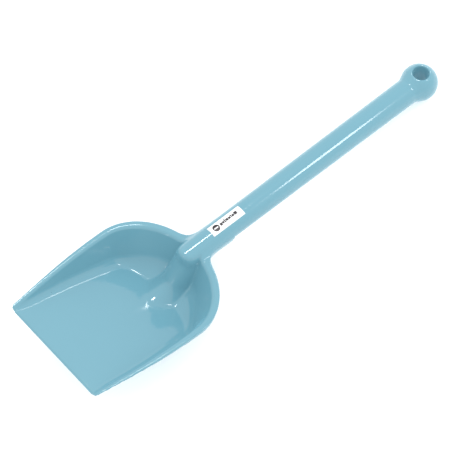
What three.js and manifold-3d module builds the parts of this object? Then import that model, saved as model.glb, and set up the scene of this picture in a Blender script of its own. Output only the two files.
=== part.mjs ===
// Children's sand scoop: a one-piece moulded shovel with a shallow tapering pan, a turned-down
// rim, a hollow round handle whose root runs through the back wall, and a ball end with a
// hanging hole. A paper label sits on top of the handle.
//
// Millimetres, +Z up. The scoop is first built square to its rim: x runs from the front edge to
// the ball, z = 0 is the top of the rim. The whole group is then tilted to the attitude in which
// the scoop lies still, on the heel of the pan and on the ball.

import * as THREE from 'three';
import { ConvexGeometry } from 'three/addons/geometries/ConvexGeometry.js';
import { mergeVertices } from 'three/addons/utils/BufferGeometryUtils.js';
import Module from 'manifold-3d';

// ---- Driving dimensions -------------------------------------------------------------------

const JOINT_GAP = 0.3; // clearance where two named sections of the moulding meet
const SLIVER = 0.01; // the smallest step that is kept where shapes are joined or cut

// Rim outline, seen from above.
const FRONT_HALF_WIDTH = 50.5; // at the digging edge
const STRAIGHT_END = new THREE.Vector2(35, 55.2); // where the straight flank ends
const BACK_CENTRE_X = 98.7; // widest station, and the centre of the elliptical back
const BACK_HALF_WIDTH = 59.3;
const BACK_LENGTH = 49.1;
const CORNER_RADIUS = 3.5; // front corners
const OUTLINE_STEPS = 44; // per side

// Pan.
const FLOOR_SLOPE = 0.2905; // floor drop per millimetre of length
const FLOOR_START = -1.7; // floor height at the digging edge
const FLOOR_TILT = Math.atan(FLOOR_SLOPE);
const WALL_DRAFT = 0.33; // how far the walls run in per millimetre of depth
const CORNER_DRAFT = 0.14; // the extra run at the back corners
const WALL = 2.4;
const FILLET = 4; // between wall and floor, at the digging edge
const FILLET_GROWTH = 0.035; // extra fillet per millimetre of length
const BACK_FILLET = 11; // extra fillet square across the back
const FILLET_SHARE = 0.8; // the most of the depth that a fillet takes
const FILLET_STEPS = 5;

// Rim.
const RIM_FRONT_WIDTH = 2.8;
const RIM_WIDENING = 0.024; // extra rim width per millimetre of length
const RIM_THICKNESS = 2.4;
const RIM_START = 12; // ahead of this the rim is part of the pan's low corners
const LIP_THICKNESS = 1.2;
const LIP_START = 1.2; // depth of the turned-down lip at the front edge
const LIP_SLOPE = 0.03; // extra lip depth per millimetre of length
const NECK_WEB = { frontX: 137, frontHalf: 34, backX: 160, backHalf: 11.4 };

// Handle, on an axis that climbs a little from the rim plane.
const BALL_X = 393.5;
const BALL_Z = 11.5;
const BALL_RADIUS = 16.1;
const BALL_NECK_FLARE = 2; // how far the handle swells before it meets the ball
const HANDLE_PITCH = THREE.MathUtils.degToRad(3.23);
const HANDLE_ROOT_RADIUS = 10.4;
const HANDLE_END_RADIUS = 11.4;
const HANDLE_WALL = 2.8;
const ROOT_NOSE = 265.4; // distance along the axis from the ball's centre to the root's nose
const ROOT_ROUNDING = 5; // round the blunt nose
const TUBE_START = 230; // the same, to the front of the hollow tube
const TUBE_END = 18; // the same, to its back
const ROUND_STEPS = 36;

// Root of the handle inside the pan.
const PILLAR = { x: 138.8, radius: 10.3, draft: 0.14, lean: 0.4, topZ: -4, bottomZ: -46 };
const RAMP = { startX: 89, endX: 140, halfWidth: 5.5, widening: 0.15, rise: 0.325, crest: 3 };

// Hanging hole and label.
const HOLE_RADIUS = 6.9;
const HOLE_ROUNDING = 1.8;
const LABEL = { centre: 216.7, length: 33, width: 9.6, thickness: 0.25 };

// Lying attitude: the turn about +Y that brings the heel and the ball to one level.
const LYING_TILT = THREE.MathUtils.degToRad(7.332);

const PLASTIC = { color: 0x8cc1d3, roughness: 0.18, metalness: 0 };
const PAPER = { color: 0xf2f4f5, roughness: 0.45, metalness: 0 };

// ---- Joining and cutting ------------------------------------------------------------------

const wasm = await Module();
wasm.setup();

function solid(geometry) {
  const bare = geometry.index ? geometry.toNonIndexed() : geometry.clone();
  for (const name of Object.keys(bare.attributes)) {
    if (name !== 'position') bare.deleteAttribute(name);
  }
  const merged = mergeVertices(bare, 1e-4);
  const mesh = new wasm.Mesh({
    numProp: 3,
    vertProperties: new Float32Array(merged.attributes.position.array),
    triVerts: new Uint32Array(merged.index.array),
  });
  return new wasm.Manifold(mesh);
}

function placed(geometry, x, y, z) {
  return geometry.translate(x, y, z);
}

function meshFrom(manifold, name, finish) {
  const mesh = manifold.simplify(SLIVER).getMesh();
  const geometry = new THREE.BufferGeometry();
  geometry.setAttribute('position', new THREE.BufferAttribute(mesh.vertProperties, 3));
  geometry.setIndex(new THREE.BufferAttribute(mesh.triVerts, 1));
  geometry.computeVertexNormals();
  return named(geometry, name, finish);
}

function named(geometry, name, finish) {
  const mesh = new THREE.Mesh(geometry, new THREE.MeshStandardMaterial(finish));
  mesh.name = name;
  return mesh;
}

// ---- Rim outline --------------------------------------------------------------------------

// One flank: a straight stretch, a long arc out to the widest station, then half of the back.
function flankPath() {
  const slope = (STRAIGHT_END.y - FRONT_HALF_WIDTH) / STRAIGHT_END.x;
  const run = BACK_CENTRE_X - STRAIGHT_END.x;
  const radius = run / Math.sin(Math.atan(slope));
  const startAngle = Math.PI / 2 + Math.atan(slope);
  const path = new THREE.Path();
  path.moveTo(0, FRONT_HALF_WIDTH);
  path.lineTo(STRAIGHT_END.x, STRAIGHT_END.y);
  const centreY = BACK_HALF_WIDTH - radius;
  path.absarc(BACK_CENTRE_X, centreY, radius, startAngle, Math.PI / 2, true);
  path.absellipse(BACK_CENTRE_X, 0, BACK_LENGTH, BACK_HALF_WIDTH, Math.PI / 2, 0, true);
  return path;
}

// Stations along the flank: a point on the outline and its outward direction.
function flankStations() {
  const path = flankPath();
  return Array.from({ length: OUTLINE_STEPS + 1 }, (_, i) => {
    const point = path.getPointAt(i / OUTLINE_STEPS);
    const along = path.getTangentAt(i / OUTLINE_STEPS);
    return { x: point.x, y: point.y, nx: -along.y, ny: along.x };
  });
}

const STATIONS = flankStations();

// A flat plate of the rim's outline drawn in by an inset, between two heights.
function outlinePlate(inset, low, high) {
  const flank = STATIONS.map((s) => new THREE.Vector2(s.x - s.nx * inset, s.y - s.ny * inset));
  const shape = new THREE.Shape();
  const corner = flank[0];
  shape.moveTo(0, corner.y - CORNER_RADIUS);
  shape.quadraticCurveTo(0, corner.y, flank[1].x, flank[1].y);
  for (const point of flank.slice(2)) shape.lineTo(point.x, point.y);
  for (const point of flank.slice(1, -1).reverse()) shape.lineTo(point.x, -point.y);
  shape.quadraticCurveTo(0, -corner.y, 0, CORNER_RADIUS - corner.y);
  const settings = { depth: high - low, bevelEnabled: false, curveSegments: 6 };
  return solid(placed(new THREE.ExtrudeGeometry(shape, settings), 0, 0, low));
}

// ---- Pan ----------------------------------------------------------------------------------

function floorHeight(x) {
  return FLOOR_START - FLOOR_SLOPE * x;
}

// The space that the pan holds, grown outwards by a wall thickness: drafted flanks, a sloping
// floor and a fillet between them. It is open at the front, so it runs past the digging edge.
function panSpace(grow) {
  const above = 8;
  const ahead = 12;
  const points = [];
  const drop = grow / Math.cos(FLOOR_TILT);
  for (const station of STATIONS) {
    const back = station.x > BACK_CENTRE_X ? station.nx ** 2 : 0;
    const draft = WALL_DRAFT + CORNER_DRAFT * 4 * back * (1 - back);
    const slant = Math.atan(draft);
    const rimWidth = RIM_FRONT_WIDTH + RIM_WIDENING * station.x - grow / Math.cos(slant);
    const depth = -floorHeight(station.x);
    const run = rimWidth + (depth + drop) * draft;
    const cornerInset = run / (1 + station.nx * FLOOR_SLOPE * draft);
    const growing = FILLET + FILLET_GROWTH * station.x + BACK_FILLET * back;
    const radius = Math.min(growing, FILLET_SHARE * depth) + grow;
    const reach = radius * Math.tan((Math.PI / 2 - slant) / 2);
    const at = (inset, z) => [station.x - station.nx * inset, station.y - station.ny * inset, z];
    const floorAt = (inset) => {
      const [x, y] = at(inset, 0);
      return new THREE.Vector3(x, y, floorHeight(x) - drop);
    };
    const corner = floorAt(cornerInset);
    const wallRise = reach * Math.cos(slant);
    const wallEnd = new THREE.Vector3(...at(cornerInset - wallRise * draft, corner.z + wallRise));
    const floorEnd = floorAt(cornerInset + reach);
    const fillet = new THREE.QuadraticBezierCurve3(wallEnd, corner, floorEnd);
    const section = [new THREE.Vector3(...at(rimWidth - above * draft, above))];
    section.push(...fillet.getPoints(FILLET_STEPS));
    for (const point of section) {
      points.push(point, new THREE.Vector3(point.x, -point.y, point.z));
      if (station === STATIONS[0]) {
        const rise = point.z < above ? ahead * FLOOR_SLOPE : 0;
        points.push(new THREE.Vector3(point.x - ahead, point.y, point.z + rise));
        points.push(new THREE.Vector3(point.x - ahead, -point.y, point.z + rise));
      }
    }
  }
  return solid(new ConvexGeometry(points));
}

// A block used to keep or cut away everything above a height and behind a station.
function blockAbove(height, fromX) {
  const length = 200;
  const block = new THREE.BoxGeometry(length, 3 * BACK_HALF_WIDTH, 40);
  return solid(placed(block, fromX + length / 2, 0, height + 20));
}

// ---- Handle -------------------------------------------------------------------------------

// Turns a lathe profile onto the handle. It is given from the pan's end towards the ball, as
// [distance from the ball's centre, radius]; a lathe's outside is traced the other way.
function onHandle(profile, steps = ROUND_STEPS) {
  const points = profile.map(([along, radius]) => new THREE.Vector2(radius, along)).reverse();
  const lathe = new THREE.LatheGeometry(points, steps);
  lathe.rotateZ(Math.PI / 2);
  lathe.rotateY(-HANDLE_PITCH);
  return placed(lathe, BALL_X, 0, BALL_Z);
}

function handleRadius(along) {
  const slope = (HANDLE_END_RADIUS - HANDLE_ROOT_RADIUS) / (TUBE_START - TUBE_END);
  return HANDLE_END_RADIUS - (along - TUBE_END) * slope;
}

// The root of the handle: a blunt nose and a short solid bar, grown by a clearance.
function rootBar(grow) {
  const radius = handleRadius(TUBE_START) + grow;
  const rounding = ROOT_ROUNDING + grow;
  const front = ROOT_NOSE + grow;
  const nose = [[front, 0]];
  const noseSteps = 5;
  for (let i = 0; i <= noseSteps; i += 1) {
    const angle = (Math.PI / 2) * (i / noseSteps);
    nose.push([front - rounding * (1 - Math.cos(angle)), radius - rounding * (1 - Math.sin(angle))]);
  }
  const back = TUBE_START + JOINT_GAP / 2 - grow;
  return solid(onHandle([...nose, [back, radius], [back, 0]]));
}

// The drafted pillar under the root and the low ramp in front of it, on the pan's floor.
function rootFoot() {
  return footPillar().add(footRamp());
}

// The pillar's front leans out towards the floor.
function footPillar() {
  const { x, radius, draft, lean, topZ, bottomZ } = PILLAR;
  const points = [];
  for (const z of [topZ, (topZ + bottomZ) / 2, bottomZ]) {
    const spread = radius - draft * (z - topZ);
    const front = spread * (1 + (lean * Math.max(topZ - 2 - z, 0)) / radius);
    for (let i = 0; i < ROUND_STEPS; i += 1) {
      const angle = (2 * Math.PI * i) / ROUND_STEPS;
      const reach = Math.cos(angle) < 0 ? front : spread;
      const across = spread * Math.sin(angle);
      points.push(new THREE.Vector3(x + reach * Math.cos(angle), across, z));
    }
  }
  return solid(new ConvexGeometry(points));
}

// The ramp has a soft crest and a rounded tip; its sides run on a little under the floor.
function footRamp() {
  const { startX, endX, halfWidth, widening, rise, crest } = RAMP;
  const points = [new THREE.Vector3(startX, 0, floorHeight(startX) + halfWidth * rise)];
  const endHalf = halfWidth + widening * (endX - startX);
  points.push(new THREE.Vector3(endX, 0, floorHeight(endX) + endHalf * rise));
  for (const share of [-0.6, 0, 0.5, 0.85]) {
    for (const [x, half] of [[startX, halfWidth], [endX, endHalf]]) {
      const reach = half * (1 - share);
      const spread = Math.sqrt((reach + crest) ** 2 - crest ** 2);
      const z = floorHeight(x) + share * half * rise;
      points.push(new THREE.Vector3(x, spread, z), new THREE.Vector3(x, -spread, z));
      for (const turn of x === startX ? [-60, -30, 0, 30, 60] : []) {
        const angle = THREE.MathUtils.degToRad(turn);
        const tipX = x - reach * Math.cos(angle);
        points.push(new THREE.Vector3(tipX, spread * Math.sin(angle), z));
      }
    }
  }
  return solid(new ConvexGeometry(points));
}

function handleTube() {
  const front = TUBE_START - JOINT_GAP / 2;
  const back = TUBE_END + JOINT_GAP / 2;
  const steps = 12;
  const outer = [];
  const inner = [];
  for (let i = 0; i <= steps; i += 1) {
    const along = front + ((back - front) * i) / steps;
    outer.push([along, handleRadius(along)]);
    inner.unshift([along, handleRadius(along) - HANDLE_WALL]);
  }
  return onHandle([...outer, ...inner, outer[0]]);
}

// The ball, its short neck and the hanging hole with rounded mouths.
function ballEnd() {
  const neckFront = TUBE_END - JOINT_GAP / 2;
  const neckRadius = handleRadius(TUBE_END);
  const ball = [];
  const steps = 20;
  for (let i = 0; i <= steps; i += 1) {
    const angle = (Math.PI * i) / steps;
    ball.push([BALL_RADIUS * Math.cos(angle), BALL_RADIUS * Math.sin(angle)]);
  }
  ball[0][1] = 0;
  ball[steps][1] = 0;
  const shoulder = BALL_NECK_FLARE * 3;
  const flared = neckRadius + BALL_NECK_FLARE;
  const neck = [[neckFront, 0], [neckFront, neckRadius], [shoulder, flared], [0, 0]];
  const body = solid(onHandle(ball)).add(solid(onHandle(neck)));
  return body.subtract(hangingHole());
}

function hangingHole() {
  const mouth = Math.sqrt(BALL_RADIUS ** 2 - HOLE_RADIUS ** 2);
  const profile = [new THREE.Vector2(0, -2 * mouth)];
  const flare = HOLE_RADIUS + HOLE_ROUNDING;
  for (const side of [-1, 1]) {
    const steps = [0, 1, 2, 3];
    if (side > 0) steps.reverse();
    if (side < 0) profile.push(new THREE.Vector2(flare, -2 * mouth));
    for (const i of steps) {
      const angle = (Math.PI / 2) * (i / 3);
      const radius = flare - HOLE_ROUNDING * Math.sin(angle);
      const height = mouth - HOLE_ROUNDING * (1 - Math.cos(angle));
      profile.push(new THREE.Vector2(radius, side * height));
    }
    if (side > 0) profile.push(new THREE.Vector2(flare, 2 * mouth));
  }
  profile.push(new THREE.Vector2(0, 2 * mouth));
  const hole = new THREE.LatheGeometry(profile, 32);
  hole.rotateX(Math.PI / 2);
  hole.rotateY(-HANDLE_PITCH);
  return solid(placed(hole, BALL_X, 0, BALL_Z));
}

// The label: a strip of an arc, drawn along the top of the handle.
function labelStrip() {
  const inner = handleRadius(LABEL.centre) + JOINT_GAP;
  const outer = inner + LABEL.thickness;
  const half = LABEL.width / 2 / inner;
  const shape = new THREE.Shape();
  shape.absarc(0, 0, outer, Math.PI / 2 - half, Math.PI / 2 + half, false);
  shape.absarc(0, 0, inner, Math.PI / 2 + half, Math.PI / 2 - half, true);
  const settings = { depth: LABEL.length, bevelEnabled: false, curveSegments: 12 };
  const strip = new THREE.ExtrudeGeometry(shape, settings);
  strip.rotateX(Math.PI / 2);
  strip.rotateZ(-Math.PI / 2);
  strip.translate(-LABEL.centre + LABEL.length / 2, 0, 0);
  strip.rotateY(-HANDLE_PITCH);
  return placed(strip, BALL_X, 0, BALL_Z);
}

// ---- Sections of the moulding -------------------------------------------------------------

const panInside = panSpace(0);
const panOutside = panSpace(WALL);
const deepest = -60;

function scoopPan() {
  const shell = outlinePlate(0, deepest, 0).intersect(panOutside).subtract(panInside);
  const rimCut = blockAbove(-RIM_THICKNESS - JOINT_GAP, RIM_START - JOINT_GAP);
  return shell.subtract(rimCut).subtract(rootBar(JOINT_GAP));
}

// The rim: a flat flange with a turned-down lip and a web that meets the handle. The root of
// the handle parts it at the back, so each side is a section of its own.
function rimFlange(side) {
  const lipBase = 60;
  const under = new THREE.BoxGeometry(400, 3 * BACK_HALF_WIDTH, lipBase);
  under.translate(0, 0, -lipBase / 2);
  under.rotateY(Math.atan(LIP_SLOPE));
  const belowLip = solid(placed(under, 0, 0, -LIP_START));
  const hollow = outlinePlate(LIP_THICKNESS, deepest, -RIM_THICKNESS);
  const band = outlinePlate(0, deepest, 0).subtract(hollow).subtract(belowLip);
  const plate = outlinePlate(0, -RIM_THICKNESS, 0);
  const rim = plate.add(band).add(neckWeb());
  const half = new THREE.BoxGeometry(200, 2 * BACK_HALF_WIDTH, 40);
  half.translate(RIM_START + 100, side * BACK_HALF_WIDTH, 0);
  return rim.intersect(solid(half)).subtract(panInside).subtract(rootBar(JOINT_GAP));
}

function neckWeb() {
  const { frontX, frontHalf, backX, backHalf } = NECK_WEB;
  const shape = new THREE.Shape();
  shape.moveTo(frontX, frontHalf);
  shape.quadraticCurveTo(backX - 8, backHalf + 2, backX, backHalf);
  shape.lineTo(backX, -backHalf);
  shape.quadraticCurveTo(backX - 8, -backHalf - 2, frontX, -frontHalf);
  const settings = { depth: RIM_THICKNESS, bevelEnabled: false, curveSegments: 8 };
  return solid(placed(new THREE.ExtrudeGeometry(shape, settings), 0, 0, -RIM_THICKNESS));
}

function handleRoot() {
  const foot = rootFoot().intersect(panSpace(-JOINT_GAP)).subtract(blockAbove(-1, 0));
  return rootBar(0).add(foot);
}

// ---- Assembly -----------------------------------------------------------------------------

const sections = new THREE.Group();
sections.add(meshFrom(scoopPan(), 'scoop_pan', PLASTIC));
sections.add(meshFrom(rimFlange(1), 'rim_left', PLASTIC));
sections.add(meshFrom(rimFlange(-1), 'rim_right', PLASTIC));
sections.add(meshFrom(handleRoot(), 'handle_root', PLASTIC));
sections.add(named(handleTube(), 'handle_tube', PLASTIC));
sections.add(meshFrom(ballEnd(), 'ball_end', PLASTIC));
sections.add(named(labelStrip(), 'label', PAPER));
sections.rotation.y = LYING_TILT;

const scoop = new THREE.Group();
scoop.add(sections);
scoop.updateMatrixWorld(true);
const box = new THREE.Box3().setFromObject(scoop, true);
const middle = box.getCenter(new THREE.Vector3());
scoop.position.set(-middle.x, -middle.y, -box.min.z);

export default scoop;
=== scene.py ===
"""A children's beach sand scoop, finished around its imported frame.

The scoop is one plastic moulding with a paper label. The moulding's form is written as signed
distances in the scoop's own square attitude (x from the digging edge to the ball, z = 0 on top
of the rim), turned into one seamless mesh, and laid into the frame.
"""

import math

import bmesh
import bpy
import numpy as np
import openvdb
from bpy.props import FloatProperty, FloatVectorProperty, PointerProperty
from mathutils import Matrix, Vector


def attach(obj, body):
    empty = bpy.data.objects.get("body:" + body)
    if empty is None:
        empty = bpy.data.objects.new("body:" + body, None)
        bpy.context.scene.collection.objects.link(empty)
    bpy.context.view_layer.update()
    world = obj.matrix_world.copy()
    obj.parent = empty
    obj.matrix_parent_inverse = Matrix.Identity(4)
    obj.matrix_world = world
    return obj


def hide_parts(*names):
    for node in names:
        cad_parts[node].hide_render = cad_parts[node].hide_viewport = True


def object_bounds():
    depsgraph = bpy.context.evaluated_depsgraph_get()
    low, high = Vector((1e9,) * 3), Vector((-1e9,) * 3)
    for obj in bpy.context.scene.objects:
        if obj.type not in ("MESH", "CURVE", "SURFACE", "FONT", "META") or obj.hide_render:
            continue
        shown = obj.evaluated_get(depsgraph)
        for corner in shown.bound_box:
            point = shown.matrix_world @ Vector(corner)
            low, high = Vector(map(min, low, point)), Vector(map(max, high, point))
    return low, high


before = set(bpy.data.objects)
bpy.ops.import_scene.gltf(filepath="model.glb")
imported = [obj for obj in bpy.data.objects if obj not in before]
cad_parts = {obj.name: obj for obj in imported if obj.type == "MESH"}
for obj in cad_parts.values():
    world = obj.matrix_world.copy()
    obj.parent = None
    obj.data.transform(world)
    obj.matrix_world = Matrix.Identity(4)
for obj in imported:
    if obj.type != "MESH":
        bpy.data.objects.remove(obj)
CAD_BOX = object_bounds()

bl_info = {
    "name": "Sand scoop",
    "version": (1, 0, 0),
    "blender": (4, 5, 0),
    "location": "3D View > Sidebar > Scoop",
    "description": "Builds a moulded sand scoop, its label and a studio stage",
    "category": "Add Mesh",
}

MM = 0.001
MOULDED_NODES = ("scoop_pan", "rim_left", "rim_right", "handle_root", "handle_tube", "ball_end")


# ---- Sizes and colours that a user would change ---------------------------------------------


class ScoopSizes(bpy.types.PropertyGroup):
    """Sizes of the moulding, in millimetres."""

    wall: FloatProperty(name="Wall", description="Wall of the pan, mm", default=2.4, min=1.5)
    edge: FloatProperty(name="Edge", description="Rounding of the moulded edges, mm", default=1.1)
    fillet: FloatProperty(name="Fillet", description="Fillet at the digging edge, mm", default=4)
    neck: FloatProperty(name="Neck", description="Fillet of rim and handle, mm", default=12)
    grain: FloatProperty(name="Mesh step", description="Mesh step, mm", default=1.02, min=0.6)


class ScoopFinish(bpy.types.PropertyGroup):
    """Colours of the plastic and the label."""

    plastic: FloatVectorProperty(
        name="Plastic",
        description="Colour moulded through the plastic",
        subtype="COLOR",
        default=(0.1055, 0.249, 0.310),
    )
    paper: FloatVectorProperty(
        name="Paper",
        description="Colour of the label's stock",
        subtype="COLOR",
        default=(0.86, 0.88, 0.89),
    )
    ink: FloatVectorProperty(
        name="Ink",
        description="Colour of the label's print",
        subtype="COLOR",
        default=(0.018, 0.012, 0.016),
    )
    roughness: FloatProperty(
        name="Roughness",
        description="Roughness of the polished plastic",
        subtype="FACTOR",
        default=0.08,
        min=0.0,
        max=1.0,
    )


# ---- The moulding's form --------------------------------------------------------------------

FRONT_HALF_WIDTH = 50.5
STRAIGHT_END = (35.0, 55.2)
BACK_CENTRE_X = 98.7
BACK_HALF_WIDTH = 59.28
BACK_LENGTH = 49.1
CORNER_RADIUS = 3.5

FLOOR_SLOPE = 0.2905
FLOOR_START = -1.7
FLOOR_TILT = math.atan(FLOOR_SLOPE)
WALL_DRAFT = 0.33
CORNER_DRAFT = 0.14
FILLET_GROWTH = 0.035
BACK_FILLET = 11.0
FILLET_SHARE = 0.8

RIM_FRONT_WIDTH = 2.8
RIM_WIDENING = 0.024
RIM_THICKNESS = 2.4
RIM_UNDER_ROUNDING = 0.5
RIM_TO_PAN_FILLET = 1.0
FRONT_ROUNDING = 0.8
INNER_EDGE_SHARE = 2.0
LIP_THICKNESS = 1.9
LIP_START = 1.2
LIP_SLOPE = 0.03
WEB_HALF_WIDTH = 9.0
WEB_END = 175.0
WEB_FILLET = 4.5

BALL_X = 393.5
BALL_Z = 11.5
BALL_RADIUS = 16.0
BALL_NECK_FILLET = 3.1
HANDLE_PITCH = math.radians(3.23)
HANDLE_ROOT_RADIUS = 10.4
HANDLE_END_RADIUS = 11.4
HANDLE_LENGTH = 245.0
ROOT_NOSE = 275.0
ROOT_ROUNDING = 4.0
ROOT_BACK = 155.0
ROOT_FLATTENING = 0.85
HOLE_RADIUS = 6.9
HOLE_ROUNDING = 1.8

PILLAR_X = 138.8
PILLAR_RADIUS = 10.3
PILLAR_DRAFT = 0.14
PILLAR_LEAN = 0.4
PILLAR_TOP = -4.0
LEAN_START = -6.0
PILLAR_SINK = 3.0
RAMP_START = 86.0
RAMP_WIDENING = 0.24
RAMP_SIDE = math.radians(16)
RAMP_CREST = 4.0
RAMP_FILLET = 11.0
FOOT_INSET = 0.6
ROOT_FILLET = 1.6
ROOT_FILLET_DEPTHS = (3.0, 9.0)
LEAST_FILLET = 0.01

LYING_TILT = math.radians(7.332)
LYING_SETTLE = 0.38
FRONT_DEPTH = 2.5


def round_cut(a, b, radius):
    """Distance to what two shapes share, with their meeting edge rounded."""
    outside = np.hypot(np.maximum(a + radius, 0), np.maximum(b + radius, 0))
    return np.minimum(-radius, np.maximum(a, b)) + outside


def round_join(a, b, radius):
    """Distance to two shapes joined, with a fillet between them."""
    return -round_cut(-a, -b, radius)


def smooth_step(x, start, end):
    t = np.clip((x - start) / (end - start), 0, 1)
    return t * t * (3 - 2 * t)


def ellipsoid_distance(places, halves):
    """Distance outside an ellipse or ellipsoid at the origin, exact near its surface."""
    near = sum((place / half) ** 2 for place, half in zip(places, halves)) ** 0.5
    steep = sum((place / half**2) ** 2 for place, half in zip(places, halves)) ** 0.5
    return near * (near - 1) / np.maximum(steep, 1e-6)


def flank_distance(x, y):
    """Distance outside the rim's outline in plan, which is open at the digging edge."""
    y = np.abs(y)
    end_x, end_y = STRAIGHT_END
    angle = math.atan((end_y - FRONT_HALF_WIDTH) / end_x)
    long_radius = (BACK_CENTRE_X - end_x) / math.sin(angle)
    behind = x - BACK_CENTRE_X
    straight = (y - end_y) * math.cos(angle) - (x - end_x) * math.sin(angle)
    arc = np.hypot(behind, y + long_radius - BACK_HALF_WIDTH) - long_radius
    back = ellipsoid_distance((behind, y), (BACK_LENGTH, BACK_HALF_WIDTH))
    ahead = (x - end_x) * math.cos(angle) + (y - end_y) * math.sin(angle) < 0
    return np.where(behind > 0, back, np.where(ahead, straight, arc))


def back_share(x, y):
    """How far the rim's outline has turned: 0 along the flanks, 1 square across the back."""
    normal_x = (np.maximum(x - BACK_CENTRE_X, 0) / BACK_LENGTH**2) ** 2
    normal_y = (y / BACK_HALF_WIDTH**2) ** 2
    return normal_x / (normal_x + normal_y + 1e-9)


class Moulding:
    """The signed distance of the whole moulding, in millimetres, negative inside."""

    def __init__(self, sizes):
        self.wall = sizes.wall
        self.edge = sizes.edge
        self.fillet = sizes.fillet
        self.neck = sizes.neck

    def space(self, x, y, z, flank, grow):
        """The space that the pan holds, or with grow, the pan's outside."""
        rim_width = RIM_FRONT_WIDTH + RIM_WIDENING * x
        back = back_share(x, y)
        draft = WALL_DRAFT + CORNER_DRAFT * 4 * back * (1 - back)
        wall = (flank + rim_width - z * draft) / np.sqrt(1 + draft**2) - grow
        floor = (FLOOR_START - FLOOR_SLOPE * x - z) * math.cos(FLOOR_TILT) - grow
        depth = np.maximum(-FLOOR_START + FLOOR_SLOPE * x, 0)
        radius = self.fillet + FILLET_GROWTH * x + BACK_FILLET * back
        radius = np.minimum(radius, FILLET_SHARE * depth) + grow
        return round_cut(wall, floor, radius)

    def blank(self, x, y, z, flank, outside):
        """The pan with its rim and turned-down lip, not hollowed out yet."""
        web = np.maximum(np.abs(y) - WEB_HALF_WIDTH, x - WEB_END)
        flank = round_join(flank, web, self.neck)
        outline = round_cut(flank, -x, CORNER_RADIUS)
        lip_depth = LIP_START + LIP_SLOPE * x
        hollow = np.maximum(flank + LIP_THICKNESS, z + RIM_THICKNESS)
        band = np.maximum(outline, -z - lip_depth)
        rim = round_cut(band, -hollow, RIM_UNDER_ROUNDING)
        pan = np.maximum(outline, outside)
        solid = round_join(pan, rim, RIM_TO_PAN_FILLET)
        solid = round_cut(solid, z, self.edge)
        return round_cut(solid, -x, FRONT_ROUNDING)

    def foot(self, x, y, z, outside):
        """The pillar under the handle's root and the low ramp in front of it."""
        spread = PILLAR_RADIUS - PILLAR_DRAFT * (z - PILLAR_TOP)
        lean = PILLAR_RADIUS / (PILLAR_RADIUS + PILLAR_LEAN * np.maximum(LEAN_START - z, 0))
        pillar = np.hypot(np.minimum(x - PILLAR_X, 0) * lean, y) - spread
        pillar = np.maximum(pillar, z + PILLAR_SINK)
        height = (z - FLOOR_START + FLOOR_SLOPE * x) * math.cos(FLOOR_TILT)
        soft_y = np.hypot(y, RAMP_CREST) - RAMP_CREST
        plan = soft_y - RAMP_WIDENING * (x - RAMP_START)
        ramp = height * math.cos(RAMP_SIDE) + plan * math.sin(RAMP_SIDE)
        return np.maximum(round_join(pillar, ramp, RAMP_FILLET), outside + FOOT_INSET)

    def handle(self, y, along, up):
        """The round handle with its blunt root, its ball and its hanging hole."""
        radial = np.hypot(y, up)
        share = np.clip(along / HANDLE_LENGTH, 0, 1)
        radius = HANDLE_END_RADIUS + (HANDLE_ROOT_RADIUS - HANDLE_END_RADIUS) * share
        bar = np.maximum(radial - radius, np.maximum(along - ROOT_NOSE, -along))
        ball = np.hypot(along, radial) - BALL_RADIUS
        knob = round_join(bar, ball, BALL_NECK_FILLET)
        hole = np.hypot(along, y) - HOLE_RADIUS
        return round_cut(knob, -hole, HOLE_ROUNDING)

    def __call__(self, x, y, z):
        flank = flank_distance(x, y)
        inside = self.space(x, y, z, flank, 0.0)
        outside = self.space(x, y, z, flank, self.wall)
        outside = np.maximum(outside, z)
        along = (BALL_X - x) * math.cos(HANDLE_PITCH) + (BALL_Z - z) * math.sin(HANDLE_PITCH)
        up = (z - BALL_Z) * math.cos(HANDLE_PITCH) - (x - BALL_X) * math.sin(HANDLE_PITCH)
        handle = self.handle(y, along, up)
        blank = round_join(self.blank(x, y, z, flank, outside), handle, WEB_FILLET)
        shell = round_cut(blank, -inside, INNER_EDGE_SHARE * self.edge)
        blunt = np.hypot(np.minimum(x - PILLAR_X, 0), ROOT_FLATTENING * y) - PILLAR_RADIUS
        root = round_cut(np.maximum(handle, x - ROOT_BACK), blunt, ROOT_ROUNDING)
        foot = self.foot(x, y, z, outside)
        fillet = LEAST_FILLET + ROOT_FILLET * smooth_step(-z, *ROOT_FILLET_DEPTHS)
        return round_join(np.minimum(shell, root), foot, fillet)


def lying_matrix():
    """Lays the square-built scoop into the frame, in metres."""
    low, high = (Vector(corner) for corner in CAD_BOX)
    front_edge = -FLOOR_START + FRONT_DEPTH
    ahead = front_edge * math.sin(LYING_TILT)
    origin = Vector((low.x + ahead * MM, 0.0, high.z - LYING_SETTLE * MM))
    turn = Matrix.Rotation(LYING_TILT, 4, "Y")
    return Matrix.Translation(origin) @ turn @ Matrix.Scale(MM, 4)


SETTLE_PASSES = 8
EVENING_PASSES = 6


def form_mesh(name, distance, low, high, step):
    """A closed mesh of a distance function: meshed on a grid, then settled on the surface."""
    axes = [np.arange(a, b + step, step, dtype=np.float32) for a, b in zip(low, high)]
    x, y, z = np.meshgrid(*axes, indexing="ij", sparse=True)
    values = distance(x, y, z).astype(np.float32)
    grid = openvdb.FloatGrid(background=10.0)
    grid.copyFromArray(np.clip(values, -3 * step, 3 * step))
    points, quads = grid.convertToQuads(0.0)
    points = points.astype(float) * step + np.array(low)
    points, normals = settle(distance, points, quads)
    mesh = bpy.data.meshes.new(name)
    mesh.from_pydata(points.tolist(), [], quads.tolist())
    mesh.update()
    mesh.shade_smooth()
    return mesh, normals


def gradient(distance, points):
    reach = 0.05
    columns = []
    for axis in range(3):
        offset = np.zeros(3)
        offset[axis] = reach
        ahead = distance(*(points + offset).T)
        behind = distance(*(points - offset).T)
        columns.append((ahead - behind) / (2 * reach))
    return np.stack(columns, axis=1)


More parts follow.
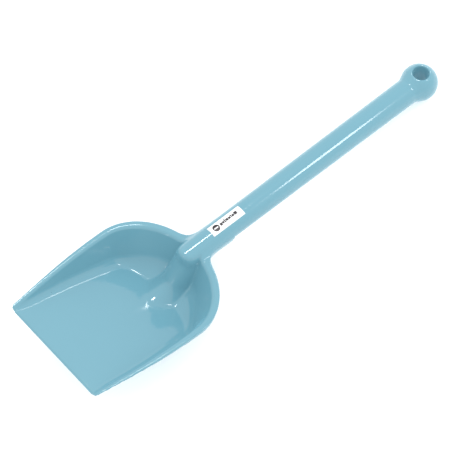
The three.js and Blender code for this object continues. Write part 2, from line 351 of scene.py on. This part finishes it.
def settle(distance, points, quads):
    """Evens the mesh out and moves its points on to the surface; returns the normals too."""
    edges = np.concatenate([quads[:, [i, (i + 1) % 4]] for i in range(4)])
    edges = np.concatenate([edges, edges[:, ::-1]])
    count = np.bincount(edges[:, 0], minlength=len(points))[:, None]
    for pass_number in range(SETTLE_PASSES):
        slope = gradient(distance, points)
        length2 = np.maximum((slope**2).sum(axis=1), 0.05)
        points = points - slope * (distance(*points.T) / length2)[:, None]
        if pass_number < EVENING_PASSES:
            total = np.zeros_like(points)
            for axis in range(3):
                total[:, axis] = np.bincount(
                    edges[:, 0], weights=points[edges[:, 1], axis], minlength=len(points)
                )
            shift = total / count - points
            normal = slope / np.sqrt(length2)[:, None]
            shift -= normal * (shift * normal).sum(axis=1)[:, None]
            points = points + 0.5 * shift
    slope = gradient(distance, points)
    normals = slope / np.maximum(np.linalg.norm(slope, axis=1), 1e-6)[:, None]
    return points, normals


# ---- Materials ------------------------------------------------------------------------------


class Num:
    """A socket that carries a number, so that shader maths reads as maths."""

    def __init__(self, nodes, socket):
        self.nodes = nodes
        self.socket = socket

    def _math(self, operation, *values):
        made = self.nodes.add("ShaderNodeMath", {"operation": operation}, values)
        return Num(self.nodes, made.outputs[0])

    def __add__(self, other):
        return self._math("ADD", self, other)

    __radd__ = __add__

    def __sub__(self, other):
        return self._math("SUBTRACT", self, other)

    def __rsub__(self, other):
        return self._math("SUBTRACT", other, self)

    def __mul__(self, other):
        return self._math("MULTIPLY", self, other)

    __rmul__ = __mul__

    def below(self, other):
        return self._math("LESS_THAN", self, other)

    def absolute(self):
        return self._math("ABSOLUTE", self)

    def highest(self, other):
        return self._math("MAXIMUM", self, other)

    def clamped(self):
        return self.highest(0.0)._math("MINIMUM", self.highest(0.0), 1.0)


class Nodes:
    """The node tree of a material or a world."""

    def __init__(self, owner):
        owner.use_nodes = True
        self.owner = owner
        self.tree = owner.node_tree

    @classmethod
    def material(cls, name):
        return cls(bpy.data.materials.new(name))

    @property
    def shader(self):
        return self.tree.nodes["Principled BSDF"]

    def add(self, kind, settings=None, values=None):
        """Adds a node: its settings first, then its sockets' values or links."""
        node = self.tree.nodes.new(kind)
        for key, value in (settings or {}).items():
            setattr(node, key, value)
        pairs = values.items() if isinstance(values, dict) else enumerate(values or ())
        for key, value in pairs:
            self.put(node.inputs[key], value)
        return node

    def put(self, socket, value):
        if isinstance(value, Num):
            value = value.socket
        if isinstance(value, bpy.types.NodeSocket):
            self.tree.links.new(value, socket)
        else:
            socket.default_value = value

    def place(self, scale=(1.0, 1.0, 1.0)):
        source = self.add("ShaderNodeTexCoord").outputs["Object"]
        mapping = self.add("ShaderNodeMapping", None, {"Vector": source, "Scale": scale})
        return mapping.outputs["Vector"]

    def noise(self, place, scale, detail=2.0, roughness=0.5):
        values = {"Vector": place, "Scale": scale, "Detail": detail, "Roughness": roughness}
        return Num(self, self.add("ShaderNodeTexNoise", None, values).outputs["Fac"])

    def mix(self, factor, first, second):
        settings = {"data_type": "RGBA"}
        values = {0: factor, 6: first, 7: second}
        return self.add("ShaderNodeMix", settings, values).outputs[2]

    def bump(self, height, distance, strength=1.0):
        values = {"Height": height, "Distance": distance, "Strength": strength}
        return self.add("ShaderNodeBump", None, values).outputs["Normal"]


def rgba(color, gain=1.0):
    return (color[0] * gain, color[1] * gain, color[2] * gain, 1.0)


PAINTED_GLOW = 0.45  # painted glow: the plastic emits its own colour everywhere, painted light that lifts its shaded walls and hollows in place of light passed on from its lit side


def plastic_material(finish):
    """Polished polypropylene, coloured through, with faint flow clouds and handling marks, and a
    painted glow of its own colour.
    """
    nodes = Nodes.material("blue_plastic")
    shader = nodes.shader
    clouds = nodes.noise(nodes.place(scale=(9.0, 14.0, 14.0)), 1.6, 3.0)
    color = nodes.mix(clouds, rgba(finish.plastic, 0.975), rgba(finish.plastic, 1.02))
    marks = nodes.noise(nodes.place(scale=(40.0, 260.0, 260.0)), 6.0, 4.0, 0.6)
    rub = ((marks - 0.58) * 5.0).clamped()
    nodes.put(shader.inputs["Base Color"], color)
    nodes.put(shader.inputs["Roughness"], rub * 0.02 + clouds * 0.02 + finish.roughness)
    ripple = nodes.noise(nodes.place(), 55.0, 1.0)
    nodes.put(shader.inputs["Normal"], nodes.bump(ripple, 0.00002, 0.2))
    shader.inputs["IOR"].default_value = 1.49
    shader.inputs["Coat Weight"].default_value = 0.25
    shader.inputs["Coat Roughness"].default_value = 0.08
    # painted glow: the plastic's own colour emitted as light, a painted lightening of its shade
    nodes.put(shader.inputs["Emission Color"], color)
    shader.inputs["Emission Strength"].default_value = PAINTED_GLOW
    return nodes.owner


def label_material(finish):
    """White coated stock, printed with a disc and plain bars."""
    nodes = Nodes.material("label_print")
    shader = nodes.shader
    uv = nodes.add("ShaderNodeTexCoord").outputs["UV"]
    split = nodes.add("ShaderNodeSeparateXYZ", None, {0: uv})
    across = Num(nodes, split.outputs[0])
    upward = Num(nodes, split.outputs[1])
    ink = label_disc(across, upward)
    for bar in LABEL_BARS:
        ink = ink.highest(bar_mask(across, upward, *bar))
    thin = bar_mask(across, upward, *SUBLINE)
    inked = nodes.mix(ink, rgba(finish.paper), rgba(finish.ink))
    color = nodes.mix(thin * 0.55, inked, rgba(finish.ink))
    nodes.put(shader.inputs["Base Color"], color)
    fibre = nodes.noise(nodes.place(), 900.0, 3.0)
    nodes.put(shader.inputs["Roughness"], fibre * 0.1 + 0.3)
    nodes.put(shader.inputs["Normal"], nodes.bump(fibre, 0.00002, 0.4))
    return nodes.owner


LABEL_LENGTH = 33.0
LABEL_WIDTH = 9.6
LABEL_THICKNESS = 0.12
LABEL_CENTRE = 216.7
DISC_AT = (6.2, 4.9)
DISC_RADIUS = 3.1
STRIPE_REACH = 2.0
STRIPE_LEVELS = (-0.6, 0.5)
# Each bar: where it starts and ends along the label, then its foot and its top.
LABEL_BARS = (
    (10.4, 12.6, 3.6, 6.2),
    (12.9, 14.9, 4.2, 6.2),
    (15.2, 16.2, 3.6, 7.2),
    (16.6, 19.0, 4.2, 6.4),
    (19.3, 21.4, 4.2, 6.2),
    (21.8, 22.7, 4.2, 7.2),
    (23.0, 25.2, 4.2, 6.2),
    (25.5, 28.4, 4.2, 7.0),
)
SUBLINE = (11.6, 24.0, 2.4, 2.8)


def bar_mask(across, upward, start, end, low, high):
    """1 inside an upright rectangle of the label, in millimetres."""
    wide = (across - (start + end) / 2).absolute().below((end - start) / 2)
    tall = (upward - (low + high) / 2).absolute().below((high - low) / 2)
    return wide * tall


def label_disc(across, upward):
    """A plain disc with one level stripe left out."""
    centre_x, centre_y = DISC_AT
    dx = across - centre_x
    dy = upward - centre_y
    disc = (dx * dx + dy * dy).below(DISC_RADIUS**2)
    ends = (centre_x - STRIPE_REACH, centre_x + STRIPE_REACH)
    levels = (centre_y + STRIPE_LEVELS[0], centre_y + STRIPE_LEVELS[1])
    stripe = bar_mask(across, upward, *ends, *levels)
    return disc * (1 - stripe)


# ---- Operators ------------------------------------------------------------------------------


GRID_SPAN = ((-3.0, -62.0, -46.0), (414.0, 62.0, 32.0))


def link(name, mesh, material, body="root", nodes=()):
    piece = bpy.data.objects.new(name, mesh)
    bpy.context.scene.collection.objects.link(piece)
    mesh.materials.append(material)
    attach(piece, body)
    if nodes:
        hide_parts(*nodes)
    return piece


class SCOOP_OT_moulding(bpy.types.Operator):
    """Make the seamless plastic moulding: pan, rim, handle root, handle and ball"""

    bl_idname = "scoop.moulding"
    bl_label = "Moulding"

    def execute(self, context):
        sizes = context.scene.scoop_sizes
        step = sizes.grain
        mesh, normals = form_mesh("moulding", Moulding(sizes), *GRID_SPAN, step)
        mesh.transform(lying_matrix())
        turn = np.array(Matrix.Rotation(LYING_TILT, 3, "Y"))
        mesh.normals_split_custom_set_from_vertices((normals @ turn.T).tolist())
        material = plastic_material(context.scene.scoop_finish)
        link("moulding", mesh, material, nodes=MOULDED_NODES)
        return {"FINISHED"}


class SCOOP_OT_label(bpy.types.Operator):
    """Make the paper label that is wrapped over the top of the handle"""

    bl_idname = "scoop.label"
    bl_label = "Label"

    def execute(self, context):
        strip = bmesh.new()
        uv = strip.loops.layers.uv.new("UVMap")
        bmesh.ops.create_grid(strip, x_segments=24, y_segments=16, size=0.5)
        for vert in strip.verts:
            vert.co.x = (vert.co.x + 0.5) * LABEL_LENGTH
            vert.co.y = (vert.co.y + 0.5) * LABEL_WIDTH
        for face in strip.faces:
            for loop in face.loops:
                loop[uv].uv = loop.vert.co.xy
        bmesh.ops.solidify(strip, geom=strip.faces[:], thickness=-LABEL_THICKNESS)
        share = LABEL_CENTRE / HANDLE_LENGTH
        radius = HANDLE_END_RADIUS + (HANDLE_ROOT_RADIUS - HANDLE_END_RADIUS) * share + 0.03
        for vert in strip.verts:
            angle = (vert.co.y - LABEL_WIDTH / 2) / radius
            reach = radius + vert.co.z
            along = vert.co.x - LABEL_LENGTH / 2 - LABEL_CENTRE
            vert.co = Vector((along, reach * math.sin(angle), reach * math.cos(angle)))
        pitch = Matrix.Rotation(-HANDLE_PITCH, 4, "Y")
        on_handle = Matrix.Translation((BALL_X, 0.0, BALL_Z)) @ pitch
        bmesh.ops.transform(strip, matrix=lying_matrix() @ on_handle, verts=strip.verts[:])
        bmesh.ops.recalc_face_normals(strip, faces=strip.faces[:])
        mesh = bpy.data.meshes.new("label_strip")
        strip.to_mesh(mesh)
        strip.free()
        mesh.shade_smooth()
        material = label_material(context.scene.scoop_finish)
        link("label_strip", mesh, material, nodes=("label",))
        return {"FINISHED"}


CAMERA_TARGET = (-0.02525, 0.00277, 0.025)
CAMERA_AZIMUTH = math.radians(-39.862)
CAMERA_ELEVATION = math.radians(61.960)
CAMERA_ROLL = math.radians(-2.175)
CAMERA_DISTANCE = 1.5968
CAMERA_LENS = 159.3

AIR_LEVEL = 1.16
AIR_ABOVE = 1.18
LAMP_DISTANCE = 1.6
# Each lamp: the direction it stands in, the way its length runs, its length and width in metres,
# and its power.
LAMPS = {
    "handle_lamp": ((0.524, -0.476, 0.771), (1.0, 0.0, 0.0), (0.2, 0.4), 2.4),
    "rim_lamp": ((0.31, 0.15, 0.94), (1.0, 0.0, 0.0), (0.32, 0.26), 5.6),
    "strip_lamp": ((0.78, 0.201, 0.585), (-0.25, 0.33, 0.22), (0.8, 0.08), 2.2),
    "low_lamp": ((-0.84, -0.139, 0.524), (0.0, 1.0, 0.0), (0.12, 0.12), 0.35),
}


class SCOOP_OT_stage(bpy.types.Operator):
    """Set up the pale floor, the soft studio light and the camera"""

    bl_idname = "scoop.stage"
    bl_label = "Stage"

    def execute(self, context):
        self.floor()
        self.light()
        self.camera(context)
        return {"FINISHED"}

    def floor(self):
        plane = bmesh.new()
        bmesh.ops.create_grid(plane, x_segments=1, y_segments=1, size=6.0)
        mesh = bpy.data.meshes.new("studio_floor")
        plane.to_mesh(mesh)
        plane.free()
        floor = bpy.data.objects.new("studio_floor", mesh)
        bpy.context.scene.collection.objects.link(floor)
        nodes = Nodes.material("floor_paper")
        nodes.shader.inputs["Base Color"].default_value = (0.97, 0.97, 0.97, 1.0)
        nodes.shader.inputs["Roughness"].default_value = 0.9
        nodes.shader.inputs["Specular IOR Level"].default_value = 0.1
        mesh.materials.append(nodes.owner)

    def light(self):
        nodes = Nodes(bpy.data.worlds.new("studio_air"))
        background = nodes.tree.nodes["Background"]
        background.inputs["Color"].default_value = (1.0, 1.0, 1.0, 1.0)
        direction = nodes.add("ShaderNodeTexCoord").outputs["Generated"]
        split = nodes.add("ShaderNodeSeparateXYZ", None, {0: direction})
        height = Num(nodes, split.outputs[2]).clamped()
        strength = height * (AIR_ABOVE - AIR_LEVEL) + AIR_LEVEL
        nodes.put(background.inputs["Strength"], strength)
        bpy.context.scene.world = nodes.owner
        bpy.context.scene.view_settings.view_transform = "Standard"
        for name, (direction, run, size, power) in LAMPS.items():
            self.lamp(name, Vector(direction).normalized(), Vector(run), size, power)

    def lamp(self, name, direction, run, size, power):
        """An oval lamp that faces the scoop."""
        data = bpy.data.lights.new(name, "AREA")
        data.shape = "ELLIPSE"
        data.size, data.size_y = size
        data.energy = power
        data.use_shadow = False
        lamp = bpy.data.objects.new(name, data)
        side = run - direction * run.dot(direction)
        side.normalize()
        turn = Matrix((side, direction.cross(side), direction)).transposed()
        place = Matrix.Translation(direction * LAMP_DISTANCE)
        lamp.matrix_world = place @ turn.to_4x4()
        bpy.context.scene.collection.objects.link(lamp)

    def camera(self, context):
        data = bpy.data.cameras.new("camera")
        data.sensor_width = 36.0
        data.lens = CAMERA_LENS
        data.clip_end = 20.0
        camera = bpy.data.objects.new("camera", data)
        ring = math.cos(CAMERA_ELEVATION)
        away = Vector(
            (
                ring * math.sin(CAMERA_AZIMUTH),
                -ring * math.cos(CAMERA_AZIMUTH),
                math.sin(CAMERA_ELEVATION),
            )
        )
        level = away.to_track_quat("Z", "Y").to_matrix().to_4x4()
        roll = Matrix.Rotation(CAMERA_ROLL, 4, "Z")
        place = Vector(CAMERA_TARGET) + away * CAMERA_DISTANCE
        camera.matrix_world = Matrix.Translation(place) @ level @ roll
        context.scene.collection.objects.link(camera)
        context.scene.camera = camera


class SCOOP_PT_panel(bpy.types.Panel):
    """Lists the scoop's settings and the operators that build it"""

    bl_label = "Sand scoop"
    bl_idname = "SCOOP_PT_panel"
    bl_space_type = "VIEW_3D"
    bl_region_type = "UI"
    bl_category = "Scoop"

    def draw(self, context):
        layout = self.layout
        for group in (context.scene.scoop_sizes, context.scene.scoop_finish):
            for name in group.bl_rna.properties.keys():
                if name not in {"name", "rna_type"}:
                    layout.prop(group, name)
        for operator in OPERATORS:
            layout.operator(operator.bl_idname)


OPERATORS = (SCOOP_OT_moulding, SCOOP_OT_label, SCOOP_OT_stage)
CLASSES = (ScoopSizes, ScoopFinish, *OPERATORS, SCOOP_PT_panel)


def register():
    for cls in CLASSES:
        bpy.utils.register_class(cls)
    bpy.types.Scene.scoop_sizes = PointerProperty(type=ScoopSizes)
    bpy.types.Scene.scoop_finish = PointerProperty(type=ScoopFinish)


def unregister():
    del bpy.types.Scene.scoop_finish
    del bpy.types.Scene.scoop_sizes
    for cls in reversed(CLASSES):
        bpy.utils.unregister_class(cls)


def main():
    register()
    bpy.ops.scoop.moulding()
    bpy.ops.scoop.label()
    bpy.ops.scoop.stage()


if __name__ == "__main__":
    main()
